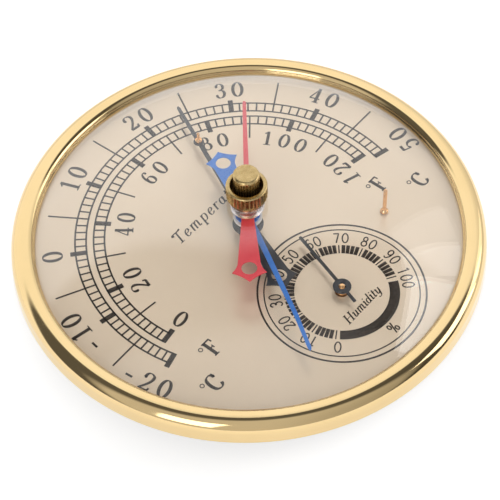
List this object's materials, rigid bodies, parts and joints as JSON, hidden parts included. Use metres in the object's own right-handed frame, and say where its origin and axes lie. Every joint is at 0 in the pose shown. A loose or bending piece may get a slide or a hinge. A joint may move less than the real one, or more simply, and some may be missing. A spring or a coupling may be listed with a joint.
{
  "type": "dial hygrometer",
  "caption": "Round brass dial thermometer and hygrometer with a domed window, maximum and minimum marker hands, two concentric setting knobs and a vented back case.",
  "frame": {"origin": "middle of the flat back face", "axes": "+Z out of the dial, +Y towards twelve o'clock, +X towards three o'clock"},
  "size_m": [0.132, 0.132, 0.0393],
  "materials": {
    "polished_brass": "mirror polished",
    "knurled_brass": "knurled, bright",
    "pin_brass": "bright drawn",
    "crystal": "clear polished",
    "clear_nylon": "translucent",
    "champagne_dial": "champagne satin lacquer",
    "black_enamel": "satin",
    "red_enamel": "satin",
    "blue_enamel": "satin",
    "black_case": "fine moulded texture",
    "steel": "bright",
    "bimetal": "rolled strip",
    "humidity_strip": "coated strip"
  },
  "bodies": {
    "case": {"back_case": "black_case", "bezel": "polished_brass", "inner_ring": "polished_brass", "crystal": "crystal", "crystal_bush": "clear_nylon", "dial_plate": "champagne_dial", "stop_pin": "pin_brass", "temperature_bush": "pin_brass", "humidity_bush": "pin_brass", "temperature_coil": "bimetal", "humidity_coil": "humidity_strip", "temperature_bridge": "steel", "humidity_bridge": "steel", "temperature_anchor": "steel", "humidity_anchor": "steel", "friction_washer": "pin_brass", "case_screw_1": "steel", "case_screw_2": "steel", "case_screw_3": "steel", "temperature_left_pillar": "pin_brass", "temperature_left_screw": "steel", "temperature_right_pillar": "pin_brass", "temperature_right_screw": "steel", "humidity_left_pillar": "pin_brass", "humidity_left_screw": "steel", "humidity_right_pillar": "pin_brass", "humidity_right_screw": "steel"},
    "temperature": {"temperature_hand": "black_enamel", "temperature_collet": "steel", "temperature_arbor": "steel", "push_pin": "pin_brass"},
    "humidity": {"humidity_hand": "black_enamel", "humidity_arbor": "pin_brass"},
    "maximum": {"maximum_marker": "red_enamel", "maximum_tube": "pin_brass", "outer_knob": "knurled_brass"},
    "minimum": {"minimum_marker": "blue_enamel", "minimum_rod": "steel", "minimum_washer": "clear_nylon", "inner_knob": "knurled_brass"}
  },
  "joints": [
    {"name": "temperature_turn", "type": "hinge", "parent": "case", "child": "temperature", "pos_m": [0, 0, 0.01745], "axis": [0, 0, 1], "range_deg": [-81, 130.5]},
    {"name": "humidity_turn", "type": "hinge", "parent": "case", "child": "humidity", "pos_m": [0, -0.0327, 0.01655], "axis": [0, 0, 1], "range_deg": [-104, 138]},
    {"name": "maximum_turn", "type": "hinge", "parent": "case", "child": "maximum", "pos_m": [0, 0, 0.0236], "axis": [0, 0, 1], "range_deg": [-80, 275]},
    {"name": "minimum_turn", "type": "hinge", "parent": "case", "child": "minimum", "pos_m": [0, 0, 0.0217], "axis": [0, 0, 1], "range_deg": [-279, 76]}
  ]
}
